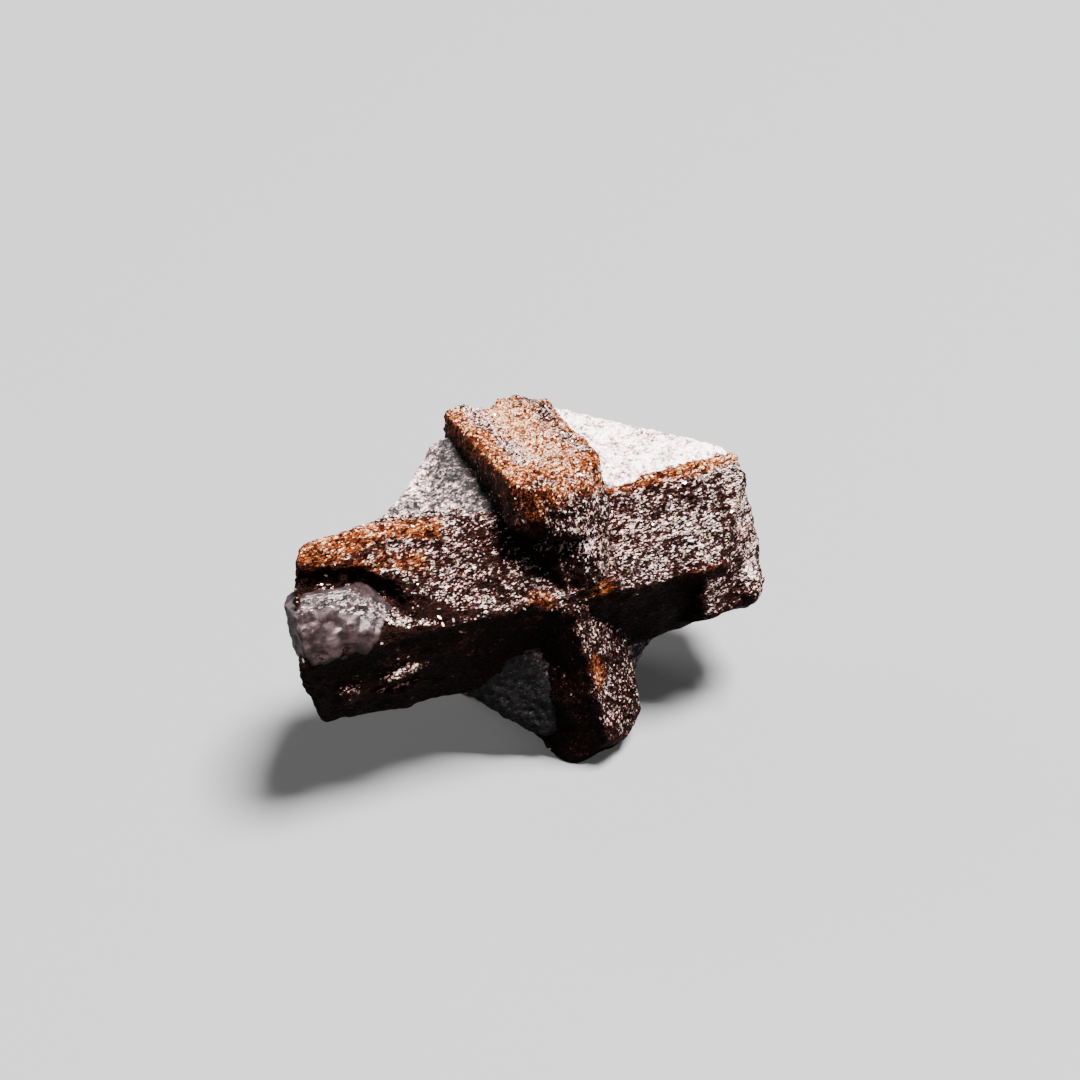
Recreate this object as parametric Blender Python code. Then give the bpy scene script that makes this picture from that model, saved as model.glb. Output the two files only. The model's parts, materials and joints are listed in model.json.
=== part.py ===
"""Staurolite cross: two pseudo-hexagonal crystals grown through each other at right angles,
with the fine-grained rock they grew in still filling the four corners between their arms.

Everything is cleaved as a stone would be: a block is cut down by its crystal faces, given as a
point on the face and the way the face looks. Cross frame, in millimetres: u along the long
crystal, v along the short one, w out of the front of the cross, zero where the axes meet.
The finished stone leans back on the worn end of its short crystal. World: +Z up, front at -Y.
"""

import math

import bmesh
import bpy
from mathutils import Matrix, Vector

MM = 0.001

# Driving dimensions, in mm
LONG_CRYSTAL = 35.3  # tip to tip along u
LEFT_REACH = 19.3  # left tip from the crossing
RIGHT_REACH = LONG_CRYSTAL - LEFT_REACH
SHORT_TOP = 10.3  # top end of the short crystal above the crossing
SHORT_BOTTOM = 13.2
SHORT_HALF_WIDTH = 3.6
FRONT_RIDGE = 6.0  # both front ridges stand this far in front of the crossing
LONG_BACK_RIDGE = 6.4
SHORT_BACK = 8.2
LEAN = math.radians(13.6)  # the cross leans back from upright
FOOT_BELOW = 11.9  # the worn foot lies this far below the crossing, measured straight down

# Surface of the finished solid
CRYSTAL_VOXEL = 0.26  # mm
CRYSTAL_WEAR = 6  # smoothing passes, few on the hard crystals
ROCK_VOXEL = 0.3  # mm
ROCK_WEAR = 24  # many on the softer rock
TRIANGLES = 6000

STONE_COLOUR = (0.115, 0.042, 0.032, 1.0)
STONE_ROUGHNESS = 0.55

# Each face: a point on it, and the way it looks.
LEFT_ARM = (
    ((-8.4, 0.9, FRONT_RIDGE), (0.0, 0.41, 0.912)),
    ((-8.4, 0.9, FRONT_RIDGE), (0.0, -0.43, 0.903)),
    ((-13.0, 8.1, 0.0), (0.13, 0.99, 0.04)),
    ((-13.0, 8.1, 0.0), (-0.17, 0.985, 0.0)),
    ((-13.0, 8.1, 2.5), (-0.03, 0.82, -0.57)),
    ((-8.0, -6.2, 0.0), (-0.04, -0.999, 0.0)),
    ((-17.8, -5.6, 3.0), (-0.6, -0.8, 0.0)),
    ((-18.2, -2.6, 3.0), (-0.92, -0.34, -0.2)),
    ((-LEFT_REACH, 1.0, 3.0), (-0.91, 0.02, -0.4)),
    ((-18.5, 5.6, 3.0), (-0.9, 0.3, -0.32)),
    ((0.0, 0.6, -LONG_BACK_RIDGE), (-0.06, 0.42, -0.905)),
    ((0.0, 0.6, -LONG_BACK_RIDGE), (-0.06, -0.42, -0.905)),
)
RIGHT_ARM = (
    ((8.0, 0.2, FRONT_RIDGE), (0.0, 0.41, 0.912)),
    ((8.0, 0.2, FRONT_RIDGE), (0.0, -0.5, 0.866)),
    ((9.0, 6.8, 0.0), (-0.045, 0.999, 0.0)),
    ((9.0, -5.6, 0.0), (0.11, -0.994, 0.0)),
    ((12.7, 3.0, 4.6), (0.6, 0.0, 0.8)),
    ((RIGHT_REACH, 0.0, 1.0), (0.992, 0.09, 0.0)),
    ((15.6, -4.3, 1.0), (0.72, -0.69, 0.0)),
    ((15.2, 6.6, 1.0), (0.5, 0.86, 0.0)),
    ((13.6, 7.0, 1.9), (0.46, 0.76, -0.44)),
    ((0.0, 0.4, -LONG_BACK_RIDGE), (0.05, 0.42, -0.905)),
    ((0.0, 0.4, -LONG_BACK_RIDGE), (0.05, -0.42, -0.905)),
)
SHORT_CRYSTAL = (
    ((0.1, 0.0, FRONT_RIDGE), (-0.49, -0.045, 0.87)),
    ((0.1, 0.0, FRONT_RIDGE), (0.53, 0.045, 0.85)),
    ((-SHORT_HALF_WIDTH + 0.1, 0.0, 0.0), (-0.999, 0.01, 0.02)),
    ((SHORT_HALF_WIDTH + 0.35, 0.0, 0.0), (0.997, 0.08, 0.0)),
    ((0.0, SHORT_TOP, 0.0), (0.0, 0.997, 0.08)),
    ((0.0, SHORT_TOP - 0.1, 4.0), (0.0, 0.8, 0.6)),
    ((0.0, 0.0, -SHORT_BACK), (0.0, 0.05, -0.999)),
    ((2.7, 10.0, -6.4), (0.85, 0.0, -0.53)),
    ((-3.4, 0.0, -7.9), (-0.7, 0.0, -0.71)),
    ((0.0, -SHORT_BOTTOM, 0.0), (0.0, -1.0, 0.0)),
    ((1.5, -12.3, 4.6), (0.15, -0.75, 0.64)),
    ((-3.1, -11.4, 3.8), (-0.75, -0.52, -0.2)),
    ((-2.2, -12.2, 4.2), (-0.45, -0.8, 0.4)),
    ((4.4, -11.9, 2.0), (0.72, -0.65, 0.25)),
)
# The thick front of the short crystal's top arm, which stands proud and overhangs the long crystal.
BROW = (
    ((-0.6, 7.5, 6.9), (-0.36, 0.05, 0.93)),
    ((-0.6, 7.5, 6.9), (0.38, 0.1, 0.92)),
    ((-SHORT_HALF_WIDTH - 0.05, 7.5, 4.0), (-0.999, -0.02, 0.0)),
    ((SHORT_HALF_WIDTH - 0.6, 7.5, 4.0), (0.999, 0.0, 0.05)),
    ((0.0, 10.0, 4.8), (0.0, 0.86, 0.51)),
    ((0.0, SHORT_TOP, 0.0), (0.0, 0.997, 0.08)),
    ((-0.3, 4.9, 6.0), (-0.12, -0.9, 0.42)),
    ((-3.4, 5.9, 5.2), (-0.62, -0.7, 0.35)),
)
# Matrix between the arms, one wedge to a corner, named as seen from the front.
MATRIX_UPPER_LEFT = (
    ((-3.6, 7.05, 3.1), (0.07, 0.967, 0.24)),
    ((-13.8, 7.9, 2.2), (-0.72, 0.1, -0.69)),
    ((0.0, 0.0, -6.4), (0.0, 0.0, -1.0)),
)
MATRIX_UPPER_RIGHT = (
    ((3.5, 6.8, 3.1), (0.0, 0.922, 0.386)),
    ((14.2, 7.1, 2.1), (0.61, 0.2, -0.77)),
    ((0.0, 0.0, -6.3), (0.0, 0.0, -1.0)),
)
MATRIX_LOWER_LEFT = (
    ((-3.4, -8.0, 3.5), (-0.25, -0.12, 0.96)),
    ((-5.5, -8.5, 3.2), (-0.69, -0.72, 0.0)),
    ((0.0, 0.0, -5.9), (0.0, 0.0, -1.0)),
)
MATRIX_LOWER_RIGHT = (
    ((4.6, -8.0, 2.2), (0.3, -0.1, 0.95)),
    ((7.0, -7.6, 0.0), (0.66, -0.75, 0.0)),
    ((0.0, 0.0, -5.9), (0.0, 0.0, -1.0)),
)
# Rock left on the back of the cross, down to the ground behind the foot.
MATRIX_BACK = (
    ((0.0, -7.0, -7.8), (0.06, 0.1, -0.99)),
    ((-6.7, -9.0, -7.0), (-0.86, -0.1, -0.5)),
    ((-6.4, -9.0, -5.6), (-0.9, -0.42, 0.1)),
    ((6.0, -9.0, -6.6), (0.88, -0.2, -0.42)),
    ((0.0, -1.2, -7.4), (0.05, 0.62, -0.78)),
    ((-5.2, -4.2, -7.2), (-0.6, 0.52, -0.6)),
    ((4.8, -4.2, -7.2), (0.62, 0.5, -0.6)),
)
# Round-bottomed hollows: centre line through a point, its direction, its radius and length.
FILLET_UPPER_LEFT = ((-9.4, 17.9, -1.0), (0.05, 0.24, -0.97), 10.4, 30.0)
FILLET_LOWER_RIGHT = ((9.3, -10.3, 0.0), (0.0, 0.0, 1.0), 4.2, 30.0)
# Lumps and chips: centre, half sizes, and degrees of turn about w.
QUARTZ_LUMP = ((-16.3, 2.0, 3.5), (3.6, 2.2, 2.4), 0.0)
RIM_HOLLOW = ((-13.9, 4.9, 5.2), (3.4, 0.9, 1.4), -28.0)
CREST_NOTCH = ((-0.6, 11.9, -8.3), (1.5, 1.3, 1.9), 0.0)


def empty_scene():
    for item in list(bpy.data.objects):
        bpy.data.objects.remove(item)


def link(name, shape):
    mesh = bpy.data.meshes.new(name)
    shape.normal_update()
    shape.to_mesh(mesh)
    shape.free()
    item = bpy.data.objects.new(name, mesh)
    bpy.context.scene.collection.objects.link(item)
    return item


def cleave(shape, through, looks):
    """Cuts away what lies beyond one face and closes the cut."""
    everything = shape.verts[:] + shape.edges[:] + shape.faces[:]
    cut = bmesh.ops.bisect_plane(
        shape, geom=everything, plane_co=Vector(through) * MM, plane_no=Vector(looks), clear_outer=True
    )
    rim = [piece for piece in cut["geom_cut"] if isinstance(piece, bmesh.types.BMEdge)]
    bmesh.ops.edgeloop_fill(shape, edges=rim)


def cleaved_block(name, low, high, faces):
    """A block from one corner to the other, cut down by its faces."""
    middle = (Vector(low) + Vector(high)) / 2 * MM
    size = (Vector(high) - Vector(low)) * MM
    shape = bmesh.new()
    place = Matrix.Translation(middle) @ Matrix.Diagonal((*size, 1.0))
    bmesh.ops.create_cube(shape, size=1.0, matrix=place)
    for through, looks in faces:
        cleave(shape, through, looks)
    bmesh.ops.recalc_face_normals(shape, faces=shape.faces)
    return link(name, shape)


def rod(name, centre, along, radius, length):
    shape = bmesh.new()
    turn = Vector((0, 0, 1)).rotation_difference(Vector(along)).to_matrix().to_4x4()
    bmesh.ops.create_cone(
        shape, cap_ends=True, segments=64, radius1=radius * MM, radius2=radius * MM,
        depth=length * MM, matrix=Matrix.Translation(Vector(centre) * MM) @ turn,
    )
    return link(name, shape)


def lump(name, centre, half_sizes, turn):
    shape = bmesh.new()
    turned = Matrix.Translation(Vector(centre) * MM) @ Matrix.Rotation(math.radians(turn), 4, "Z")
    stretched = Matrix.Diagonal((*(Vector(half_sizes) * MM), 1.0))
    bmesh.ops.create_icosphere(shape, subdivisions=3, radius=1.0, matrix=turned @ stretched)
    return link(name, shape)


def helper(item):
    item.hide_render = True
    item.display_type = "WIRE"
    return item


def hollow(item, cutter):
    """A Boolean that takes the cutter out of item, and keeps the cutter as a hidden helper."""
    step = item.modifiers.new(f"hollow {cutter.name}", "BOOLEAN")
    step.operation = "DIFFERENCE"
    step.solver = "EXACT"
    step.object = helper(cutter)
    return item


def crystals():
    """The two arms of the long crystal, the short crystal and the brow on its top arm."""
    left_arm = cleaved_block("left arm", (-21, -9, -9), (3, 10, 9), LEFT_ARM)
    right_arm = cleaved_block("right arm", (-3, -9, -9), (18, 9, 9), RIGHT_ARM)
    short_crystal = cleaved_block("short crystal", (-6, -15, -9), (7, 12, 9), SHORT_CRYSTAL)
    brow = cleaved_block("brow", (-5, 3, -6), (5, 12, 9), BROW)
    hollow(left_arm, lump("rim hollow", *RIM_HOLLOW))
    hollow(short_crystal, lump("crest notch", *CREST_NOTCH))
    return left_arm, right_arm, short_crystal, brow


def matrix():
    """The four corners of rock, hollowed where they have weathered, and the rock behind the foot."""
    upper_left = cleaved_block("matrix upper left", (-13.5, 0, -8), (0, 12, 2.9), MATRIX_UPPER_LEFT)
    hollow(upper_left, rod("fillet upper left", *FILLET_UPPER_LEFT))
    upper_right = cleaved_block("matrix upper right", (0, 0, -8), (13.7, 12, 2.8), MATRIX_UPPER_RIGHT)
    lower_left = cleaved_block("matrix lower left", (-9, -11, -8), (0, 0, 4), MATRIX_LOWER_LEFT)
    lower_right = cleaved_block("matrix lower right", (0, -11, -8), (11, 0, 4), MATRIX_LOWER_RIGHT)
    hollow(lower_right, rod("fillet lower right", *FILLET_LOWER_RIGHT))
    back = cleaved_block("matrix back", (-8, -13, -9), (7.5, 0, -5.3), MATRIX_BACK)
    return upper_left, upper_right, lower_left, lower_right, back


def gathered(pieces, name):
    """One object that holds every piece, still overlapping. Its pieces stay as hidden helpers."""
    graph = bpy.context.evaluated_depsgraph_get()
    shape = bmesh.new()
    for piece in pieces:
        shape.from_object(helper(piece), graph)
    return link(name, shape)


def wear(item, voxel, passes):
    """Makes one skin round the overlapping pieces and rounds its edges."""
    skin = item.modifiers.new("one skin", "REMESH")
    skin.mode = "VOXEL"
    skin.voxel_size = voxel * MM
    smooth = item.modifiers.new("wear", "SMOOTH")
    smooth.iterations = passes
    smooth.factor = 0.5
    even = item.modifiers.new("even triangles", "TRIANGULATE")
    even.quad_method = "SHORTEST_DIAGONAL"


def baked(item, name):
    """A plain mesh object of what the modifiers make."""
    graph = bpy.context.evaluated_depsgraph_get()
    mesh = bpy.data.meshes.new_from_object(item.evaluated_get(graph))
    mesh.name = name
    result = bpy.data.objects.new(name, mesh)
    bpy.context.scene.collection.objects.link(result)
    return result


def thin_out(stone):
    thin = stone.modifiers.new("thin out", "DECIMATE")
    thin.ratio = TRIANGLES / len(stone.data.polygons)
    thin.use_collapse_triangulate = True


def stand_up(stone):
    """Turns the cross frame to the world frame: w looks to -Y, and the cross leans back."""
    upright = Matrix(((1, 0, 0, 0), (0, 0, -1, 0), (0, 1, 0, 0), (0, 0, 0, 1)))
    raised = Matrix.Translation((0, 0, FOOT_BELOW * MM))
    stone.data.transform(raised @ Matrix.Rotation(-LEAN, 4, "X") @ upright)


def level_foot(stone):
    """Cuts the worn foot flat where the stone stands."""
    shape = bmesh.new()
    shape.from_mesh(stone.data)
    cleave(shape, (0.0, 0.0, 0.0), (0.0, 0.0, -1.0))
    bmesh.ops.triangulate(shape, faces=shape.faces)
    shape.to_mesh(stone.data)
    shape.free()


def centre_over_origin(stone):
    corners = [vertex.co for vertex in stone.data.vertices]
    for axis in (0, 1):
        values = [corner[axis] for corner in corners]
        middle = (min(values) + max(values)) / 2
        for corner in corners:
            corner[axis] -= middle


def stone_material():
    material = bpy.data.materials.new("staurolite")
    material.diffuse_color = STONE_COLOUR
    material.use_nodes = True
    shader = material.node_tree.nodes["Principled BSDF"]
    shader.inputs["Base Color"].default_value = STONE_COLOUR
    shader.inputs["Roughness"].default_value = STONE_ROUGHNESS
    shader.inputs["Metallic"].default_value = 0.0
    return material


def main():
    empty_scene()
    rock = gathered(matrix(), "rock")
    wear(rock, ROCK_VOXEL, ROCK_WEAR)
    rough = gathered((*crystals(), lump("quartz lump", *QUARTZ_LUMP), rock), "rough stone")
    wear(rough, CRYSTAL_VOXEL, CRYSTAL_WEAR)
    stone = baked(rough, "worn stone")
    helper(rough)
    thin_out(stone)
    stand_up(stone)
    cross = baked(stone, "staurolite_cross")
    helper(stone)
    level_foot(cross)
    centre_over_origin(cross)
    cross.data.materials.append(stone_material())


main()
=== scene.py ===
"""Staurolite cross: two staurolite crystals grown through each other, the rock they grew in still
filling the corners between their arms, a patch of cloudy quartz at the left end and fine mica
flakes all over the crystals.

Shapes are given in the cross's own frame, in millimetres: u along the long crystal, v along the
short one, w out of the front, zero where their axes meet. Each piece is modelled there, then
stood up on its foot in the world frame: +Z up, front at -Y, metres.
"""

import json
import math

import bpy
import numpy as np
from bpy.props import FloatProperty, FloatVectorProperty, IntProperty, PointerProperty
from mathutils import Matrix, Vector
from mathutils.bvhtree import BVHTree

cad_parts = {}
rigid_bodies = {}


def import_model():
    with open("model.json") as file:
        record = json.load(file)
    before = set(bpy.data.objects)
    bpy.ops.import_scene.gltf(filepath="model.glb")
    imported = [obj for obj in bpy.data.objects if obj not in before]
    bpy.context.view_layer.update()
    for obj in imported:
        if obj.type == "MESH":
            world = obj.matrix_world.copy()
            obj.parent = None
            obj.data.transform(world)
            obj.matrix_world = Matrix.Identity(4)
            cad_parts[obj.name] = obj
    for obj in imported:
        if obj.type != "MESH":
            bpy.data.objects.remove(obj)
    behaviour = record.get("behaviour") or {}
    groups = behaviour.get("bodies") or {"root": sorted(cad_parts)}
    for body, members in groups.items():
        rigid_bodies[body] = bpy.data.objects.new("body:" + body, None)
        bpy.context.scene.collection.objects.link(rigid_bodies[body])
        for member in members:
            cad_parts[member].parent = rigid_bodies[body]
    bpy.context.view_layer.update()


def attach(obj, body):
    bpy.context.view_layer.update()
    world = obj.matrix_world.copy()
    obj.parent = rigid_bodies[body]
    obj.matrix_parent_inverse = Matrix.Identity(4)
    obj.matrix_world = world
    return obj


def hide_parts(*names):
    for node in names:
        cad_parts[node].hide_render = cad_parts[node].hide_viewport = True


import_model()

bl_info = {
    "name": "Staurolite Cross",
    "version": (1, 0, 0),
    "blender": (4, 5, 0),
    "location": "3D View > Sidebar > Staurolite",
    "description": "Grows a cross of two staurolite crystals with its rock, quartz and mica",
    "category": "Add Mesh",
}

NODE = "staurolite_cross"
MM = 0.001
TOUCH = 1e-7  # metres: points closer than this are one point
WEIGHT_STEPS = 16


# ---- sizes and colours a user can set


def number(name, description, value, **settings):
    return FloatProperty(name=name, description=description, default=value, **settings)


def angle(name, description, degrees):
    return number(name, description, math.radians(degrees), subtype="ANGLE")


def colour(name, description, value):
    return FloatVectorProperty(
        name=name, description=description, default=value, subtype="COLOR", min=0.0, max=1.0
    )


class CrossSizes(bpy.types.PropertyGroup):
    left_reach: number("Left reach", "Long crystal's left tip from the crossing, mm", 18.7)
    right_reach: number("Right reach", "Long crystal's right end from the crossing, mm", 15.4)
    short_top: number("Short top", "Short crystal's top end above the crossing, mm", 10.3)
    short_bottom: number("Short bottom", "Short crystal's worn end below the crossing, mm", 13.2)
    front_ridge: number("Front ridge", "Front ridges stand this far out of the crossing, mm", 6.0)
    back_ridge: number("Back ridge", "Long crystal's back ridge behind the crossing, mm", 6.4)
    short_back: number("Short back", "Short crystal's back face behind the crossing, mm", 8.2)
    lean: angle("Lean", "The cross leans back this far from upright", 13.6)
    crossing: FloatVectorProperty(
        name="Crossing", description="Where the two crystals' axes meet, in the world frame",
        default=(0.002, -0.00082, 0.0119), subtype="TRANSLATION", unit="LENGTH",
    )


class SurfaceDetail(bpy.types.PropertyGroup):
    crystal_voxel: number("Crystal voxel", "Mesh spacing on the crystals, mm", 0.145)
    rock_voxel: number("Rock voxel", "Mesh spacing on the rock, mm", 0.16)
    edge_wear: IntProperty(
        name="Edge wear", description="Smoothing passes that round the crystals' edges", default=22
    )
    grain_depth: number("Grain depth", "How far the crystals' grains stand out, mm", 0.15)
    flakes_per_mm2: number("Mica flakes", "Mica flakes on each square millimetre of crystal", 1.6)
    flake_radius: number("Flake radius", "Radius of a middling mica flake, mm", 0.09)
    seed: IntProperty(name="Seed", description="Changes where the mica flakes lie", default=7)


class StoneColours(bpy.types.PropertyGroup):
    # Dark staurolite is also laid into the pits of the grain relief, as painted shade.
    dark_staurolite: colour("Dark staurolite", "Pits and glassy dark grains", (0.0022, 0.0007, 0.0005))
    red_staurolite: colour("Red staurolite", "Red-brown crystal", (0.023, 0.0044, 0.0036))
    pale_fleck: colour("Pale fleck", "Quartz and mica grains in the crystal", (0.9, 0.74, 0.69))
    rust: colour("Rust", "Iron stain on worn edges", (0.115, 0.0128, 0.0014))
    pale_rock: colour("Pale rock", "Quartz-rich matrix", (0.64, 0.42, 0.40))
    grey_rock: colour("Grey rock", "Mica-rich matrix", (0.1, 0.07, 0.069))
    cloudy_quartz: colour("Cloudy quartz", "Quartz patch", (0.0095, 0.0055, 0.006))
    mica: colour("Mica", "Mica flakes", (0.55, 0.46, 0.42))


class StageSettings(bpy.types.PropertyGroup):
    azimuth: angle("Azimuth", "Camera's turn round the stone from the front", -22.8)
    elevation: angle("Elevation", "Camera's height above the horizon", 36.6)
    distance: number("Distance", "Camera to the crossing", 0.14085, unit="LENGTH")
    lens: number("Lens", "Focal length on a 36 mm sensor, mm", 66.67)
    floor: colour("Floor", "Pale floor", (0.145, 0.145, 0.147))
    bounce: number("Bounce", "Share of its brightness that the floor throws on the stone", 0.25)
    shade_glow: number("Shade glow", "Brightness of the floor where no light reaches it", 0.05)
    key_power: number("Key light", "Soft light overhead, W", 160.0)
    key_size: number("Key size", "Side of the key light", 0.4, unit="LENGTH")
    fill_power: number("Fill light", "Large soft light in front, W", 1.2)
    back_power: number("Back light", "Soft light from behind, W", 14.0)
    sky: number("Surroundings", "Light from all round", 0.04)
    backdrop: number("Backdrop", "Brightness behind the floor's edge", 1.1)


# ---- the crystals' faces, in mm
# Each face: a point on it, and the way it looks, in u, v and w.
# Each block that the faces cut: two opposite corners.

LEFT_BLOCK = ((-21.0, -9.0, -9.0), (3.0, 10.0, 9.0))
RIGHT_BLOCK = ((-3.0, -9.0, -9.0), (18.0, 9.0, 9.0))
SHOULDER_BLOCK = ((8.5, -4.8, -1.0), (16.0, 0.8, 6.2))
COLUMN_BLOCK = ((-6.0, -15.0, -9.0), (7.0, 12.0, 9.0))
BROW_BLOCK = ((-5.0, 3.0, -6.0), (5.0, 12.0, 9.0))


def left_arm_faces(sizes):
    ridge, back = sizes.front_ridge, -sizes.back_ridge
    return (
        ((-8.4, 0.9, ridge), (0.0, 0.41, 0.912)),
        ((-8.4, 0.9, ridge), (0.0, -0.43, 0.903)),
        ((-13.0, 8.1, 0.0), (0.13, 0.99, 0.04)),
        ((-13.0, 8.1, 0.0), (-0.17, 0.985, 0.0)),
        ((-13.0, 8.1, 2.5), (-0.03, 0.82, -0.57)),
        ((-8.0, -6.2, 0.0), (-0.09, -0.996, 0.0)),
        ((-18.1, -5.6, 3.0), (-0.72, -0.69, 0.0)),
        ((-18.6, -3.2, 3.0), (-0.95, -0.25, -0.2)),
        ((-sizes.left_reach, 1.0, 3.0), (-0.91, 0.02, -0.4)),
        ((-18.5, 5.6, 3.0), (-0.9, 0.3, -0.32)),
        ((0.0, 0.6, back), (-0.06, 0.42, -0.905)),
        ((0.0, 0.6, back), (-0.06, -0.42, -0.905)),
    )


def right_arm_faces(sizes):
    ridge, back = sizes.front_ridge, -sizes.back_ridge
    return (
        ((8.0, 0.2, ridge), (0.0, 0.41, 0.912)),
        ((8.0, 0.2, ridge), (0.0, -0.5, 0.866)),
        ((9.0, 6.8, 0.0), (-0.045, 0.999, 0.0)),
        ((9.0, -5.6, 0.0), (0.11, -0.994, 0.0)),
        ((12.7, 3.0, 4.6), (0.6, 0.0, 0.8)),
        ((sizes.right_reach, -1.0, 1.0), (0.983, 0.18, 0.0)),
        ((15.6, -4.3, 1.0), (0.72, -0.69, 0.0)),
        ((14.7, 6.8, 1.0), (0.62, 0.78, 0.0)),
        ((13.2, 6.9, 1.9), (0.46, 0.76, -0.44)),
        ((0.0, 0.4, back), (0.05, 0.42, -0.905)),
        ((0.0, 0.4, back), (0.05, -0.42, -0.905)),
    )


def right_shoulder_faces(sizes):
    """The blunt front of the right arm's end, where the ridge runs out."""
    return (
        ((10.5, -1.0, 5.45), (0.2, -0.12, 0.97)),
        ((10.0, -4.1, 4.9), (0.05, -0.9, 0.42)),
        ((9.2, -1.0, 5.4), (-0.8, -0.15, 0.58)),
        ((12.7, 3.0, 4.6), (0.6, 0.0, 0.8)),
        ((sizes.right_reach, -1.0, 1.0), (0.983, 0.18, 0.0)),
        ((15.4, -4.2, 1.0), (0.72, -0.69, 0.0)),
    )


def short_crystal_faces(sizes):
    ridge, top, bottom = sizes.front_ridge, sizes.short_top, -sizes.short_bottom
    return (
        ((-0.8, 1.0, ridge), (-0.64, -0.11, 0.767)),
        ((-0.8, 1.0, ridge), (0.53, 0.091, 0.85)),
        ((-3.95, 0.0, 0.0), (-0.999, 0.01, 0.02)),
        ((3.95, 0.0, 0.0), (0.997, 0.08, 0.0)),
        ((0.0, top, 0.0), (0.0, 0.997, 0.08)),
        ((0.0, top - 0.1, 4.0), (0.0, 0.8, 0.6)),
        ((0.0, 0.0, -sizes.short_back), (0.0, 0.05, -0.999)),
        ((1.4, 10.0, -6.4), (0.85, 0.0, -0.53)),
        ((-3.4, 0.0, -7.9), (-0.7, 0.0, -0.71)),
        ((0.0, bottom, 0.0), (0.0, -1.0, 0.0)),
        ((1.5, -12.3, 4.6), (0.15, -0.75, 0.64)),
        ((-3.1, -11.4, 3.8), (-0.75, -0.52, -0.2)),
        ((-2.2, -12.2, 4.2), (-0.45, -0.8, 0.4)),
        ((4.4, -11.9, 2.0), (0.72, -0.65, 0.25)),
    )


def brow_faces(sizes):
    """The thick front of the short crystal's top arm, which overhangs the long crystal."""
    return (
        ((-0.6, 7.5, 6.9), (-0.36, 0.05, 0.93)),
        ((-0.6, 7.5, 6.9), (0.38, 0.1, 0.92)),
        ((-4.05, 7.5, 4.0), (-0.999, 0.02, 0.0)),
        ((2.85, 7.5, 4.0), (0.999, 0.0, 0.05)),
        ((0.0, 10.0, 4.8), (0.0, 0.86, 0.51)),
        ((0.0, sizes.short_top, 0.0), (0.0, 0.997, 0.08)),
        ((-0.3, 5.9, 7.2), (-0.12, -0.7, 0.7)),
        ((-0.3, 5.3, 6.0), (-0.1, -0.97, -0.2)),
        ((-3.9, 6.2, 5.2), (-0.62, -0.75, 0.1)),
    )


# Rock between the arms, one wedge to a corner, named as seen from the front, and the rock behind:
# each a block from one corner to the other, and the faces that cut it.
ROCK_BLOCKS = (
    ("upper left", (-13.5, 0, -8), (0, 12, 2.9), (
        ((-3.6, 7.05, 3.1), (0.07, 0.967, 0.24)),
        ((-13.8, 7.9, 2.2), (-0.72, 0.1, -0.69)),
        ((-6.0, 3.0, -6.7), (-0.12, 0.06, -0.99)),
    )),
    ("upper right", (0, 0, -8), (13.7, 12, 2.8), (
        ((3.5, 6.8, 3.1), (0.0, 0.922, 0.386)),
        ((14.2, 7.1, 2.1), (0.61, 0.2, -0.77)),
        ((6.0, 3.0, -6.6), (0.12, 0.06, -0.99)),
    )),
    ("lower left", (-9, -11, -8), (0, 0, 4), (
        ((-3.4, -8.0, 3.5), (-0.25, -0.12, 0.96)),
        ((-5.5, -8.5, 3.2), (-0.69, -0.72, 0.0)),
        ((-7.0, -1.5, -5.4), (-0.35, 0.6, -0.72)),
        ((0.0, 0.0, -5.9), (0.0, 0.0, -1.0)),
    )),
    ("lower right", (0, -11, -8), (11, 0, 4), (
        ((4.6, -8.0, 2.2), (0.3, -0.1, 0.95)),
        ((7.0, -7.6, 0.0), (0.66, -0.75, 0.0)),
        ((8.0, -1.5, -5.4), (0.3, 0.6, -0.74)),
        ((0.0, 0.0, -5.9), (0.0, 0.0, -1.0)),
    )),
    ("back", (-8, -13, -9), (7.5, 0, -5.3), (
        ((0.0, -7.0, -7.8), (0.06, 0.1, -0.99)),
        ((-6.7, -9.0, -7.0), (-0.86, -0.1, -0.5)),
        ((-6.4, -9.0, -5.6), (-0.9, -0.42, 0.1)),
        ((6.0, -9.0, -6.6), (0.88, -0.2, -0.42)),
        ((0.0, -1.2, -7.4), (0.05, 0.62, -0.78)),
        ((-5.2, -4.2, -7.2), (-0.6, 0.52, -0.6)),
        ((4.8, -4.2, -7.2), (0.62, 0.5, -0.6)),
    )),
)
# Round-bottomed hollows in the rock: centre, direction and radius of the rod that fits them.
ROCK_FILLETS = {
    "upper left": ((-9.4, 17.9, -1.0), (0.05, 0.24, -0.97), 10.4),
    "lower right": ((9.3, -10.3, 0.0), (0.0, 0.0, 1.0), 4.2),
}
FILLET_LENGTH = 30.0
ROD_SIDES = 96

# Hollows in the crystals: centre, half sizes, and degrees of turn about w.
LONG_HOLLOWS = (
    ((-15.1, 4.7, 4.7), (3.7, 1.4, 1.25), -28.0),
    ((-17.4, 5.4, 4.1), (2.4, 1.2, 1.15), -14.0),
    ((-11.6, 3.2, 5.2), (1.4, 0.4, 0.5), -30.0),
    ((-13.4, -3.3, 4.3), (1.9, 0.7, 0.7), 8.0),
    ((-16.6, -2.3, 4.9), (1.6, 0.6, 0.6), -14.0),
    ((-19.9, 3.2, 5.0), (1.0, 2.6, 1.3), 0.0),
)
# Where the long crystal is broken and jagged: strokes, each a start, an end, a reach and a strength.
JAGGED = (
    ((-19.0, 5.3, 3.9), (-15.0, 4.8, 4.2), 1.4, 1.0),
    ((-15.0, 4.8, 4.2), (-12.4, 3.3, 4.8), 1.3, 1.0),
)
SHORT_HOLLOWS = (
    ((-0.9, 11.5, -7.9), (1.2, 1.6, 2.3), 0.0),
    ((-2.3, 4.8, 5.5), (1.5, 0.5, 0.8), 10.0),
)
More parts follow.
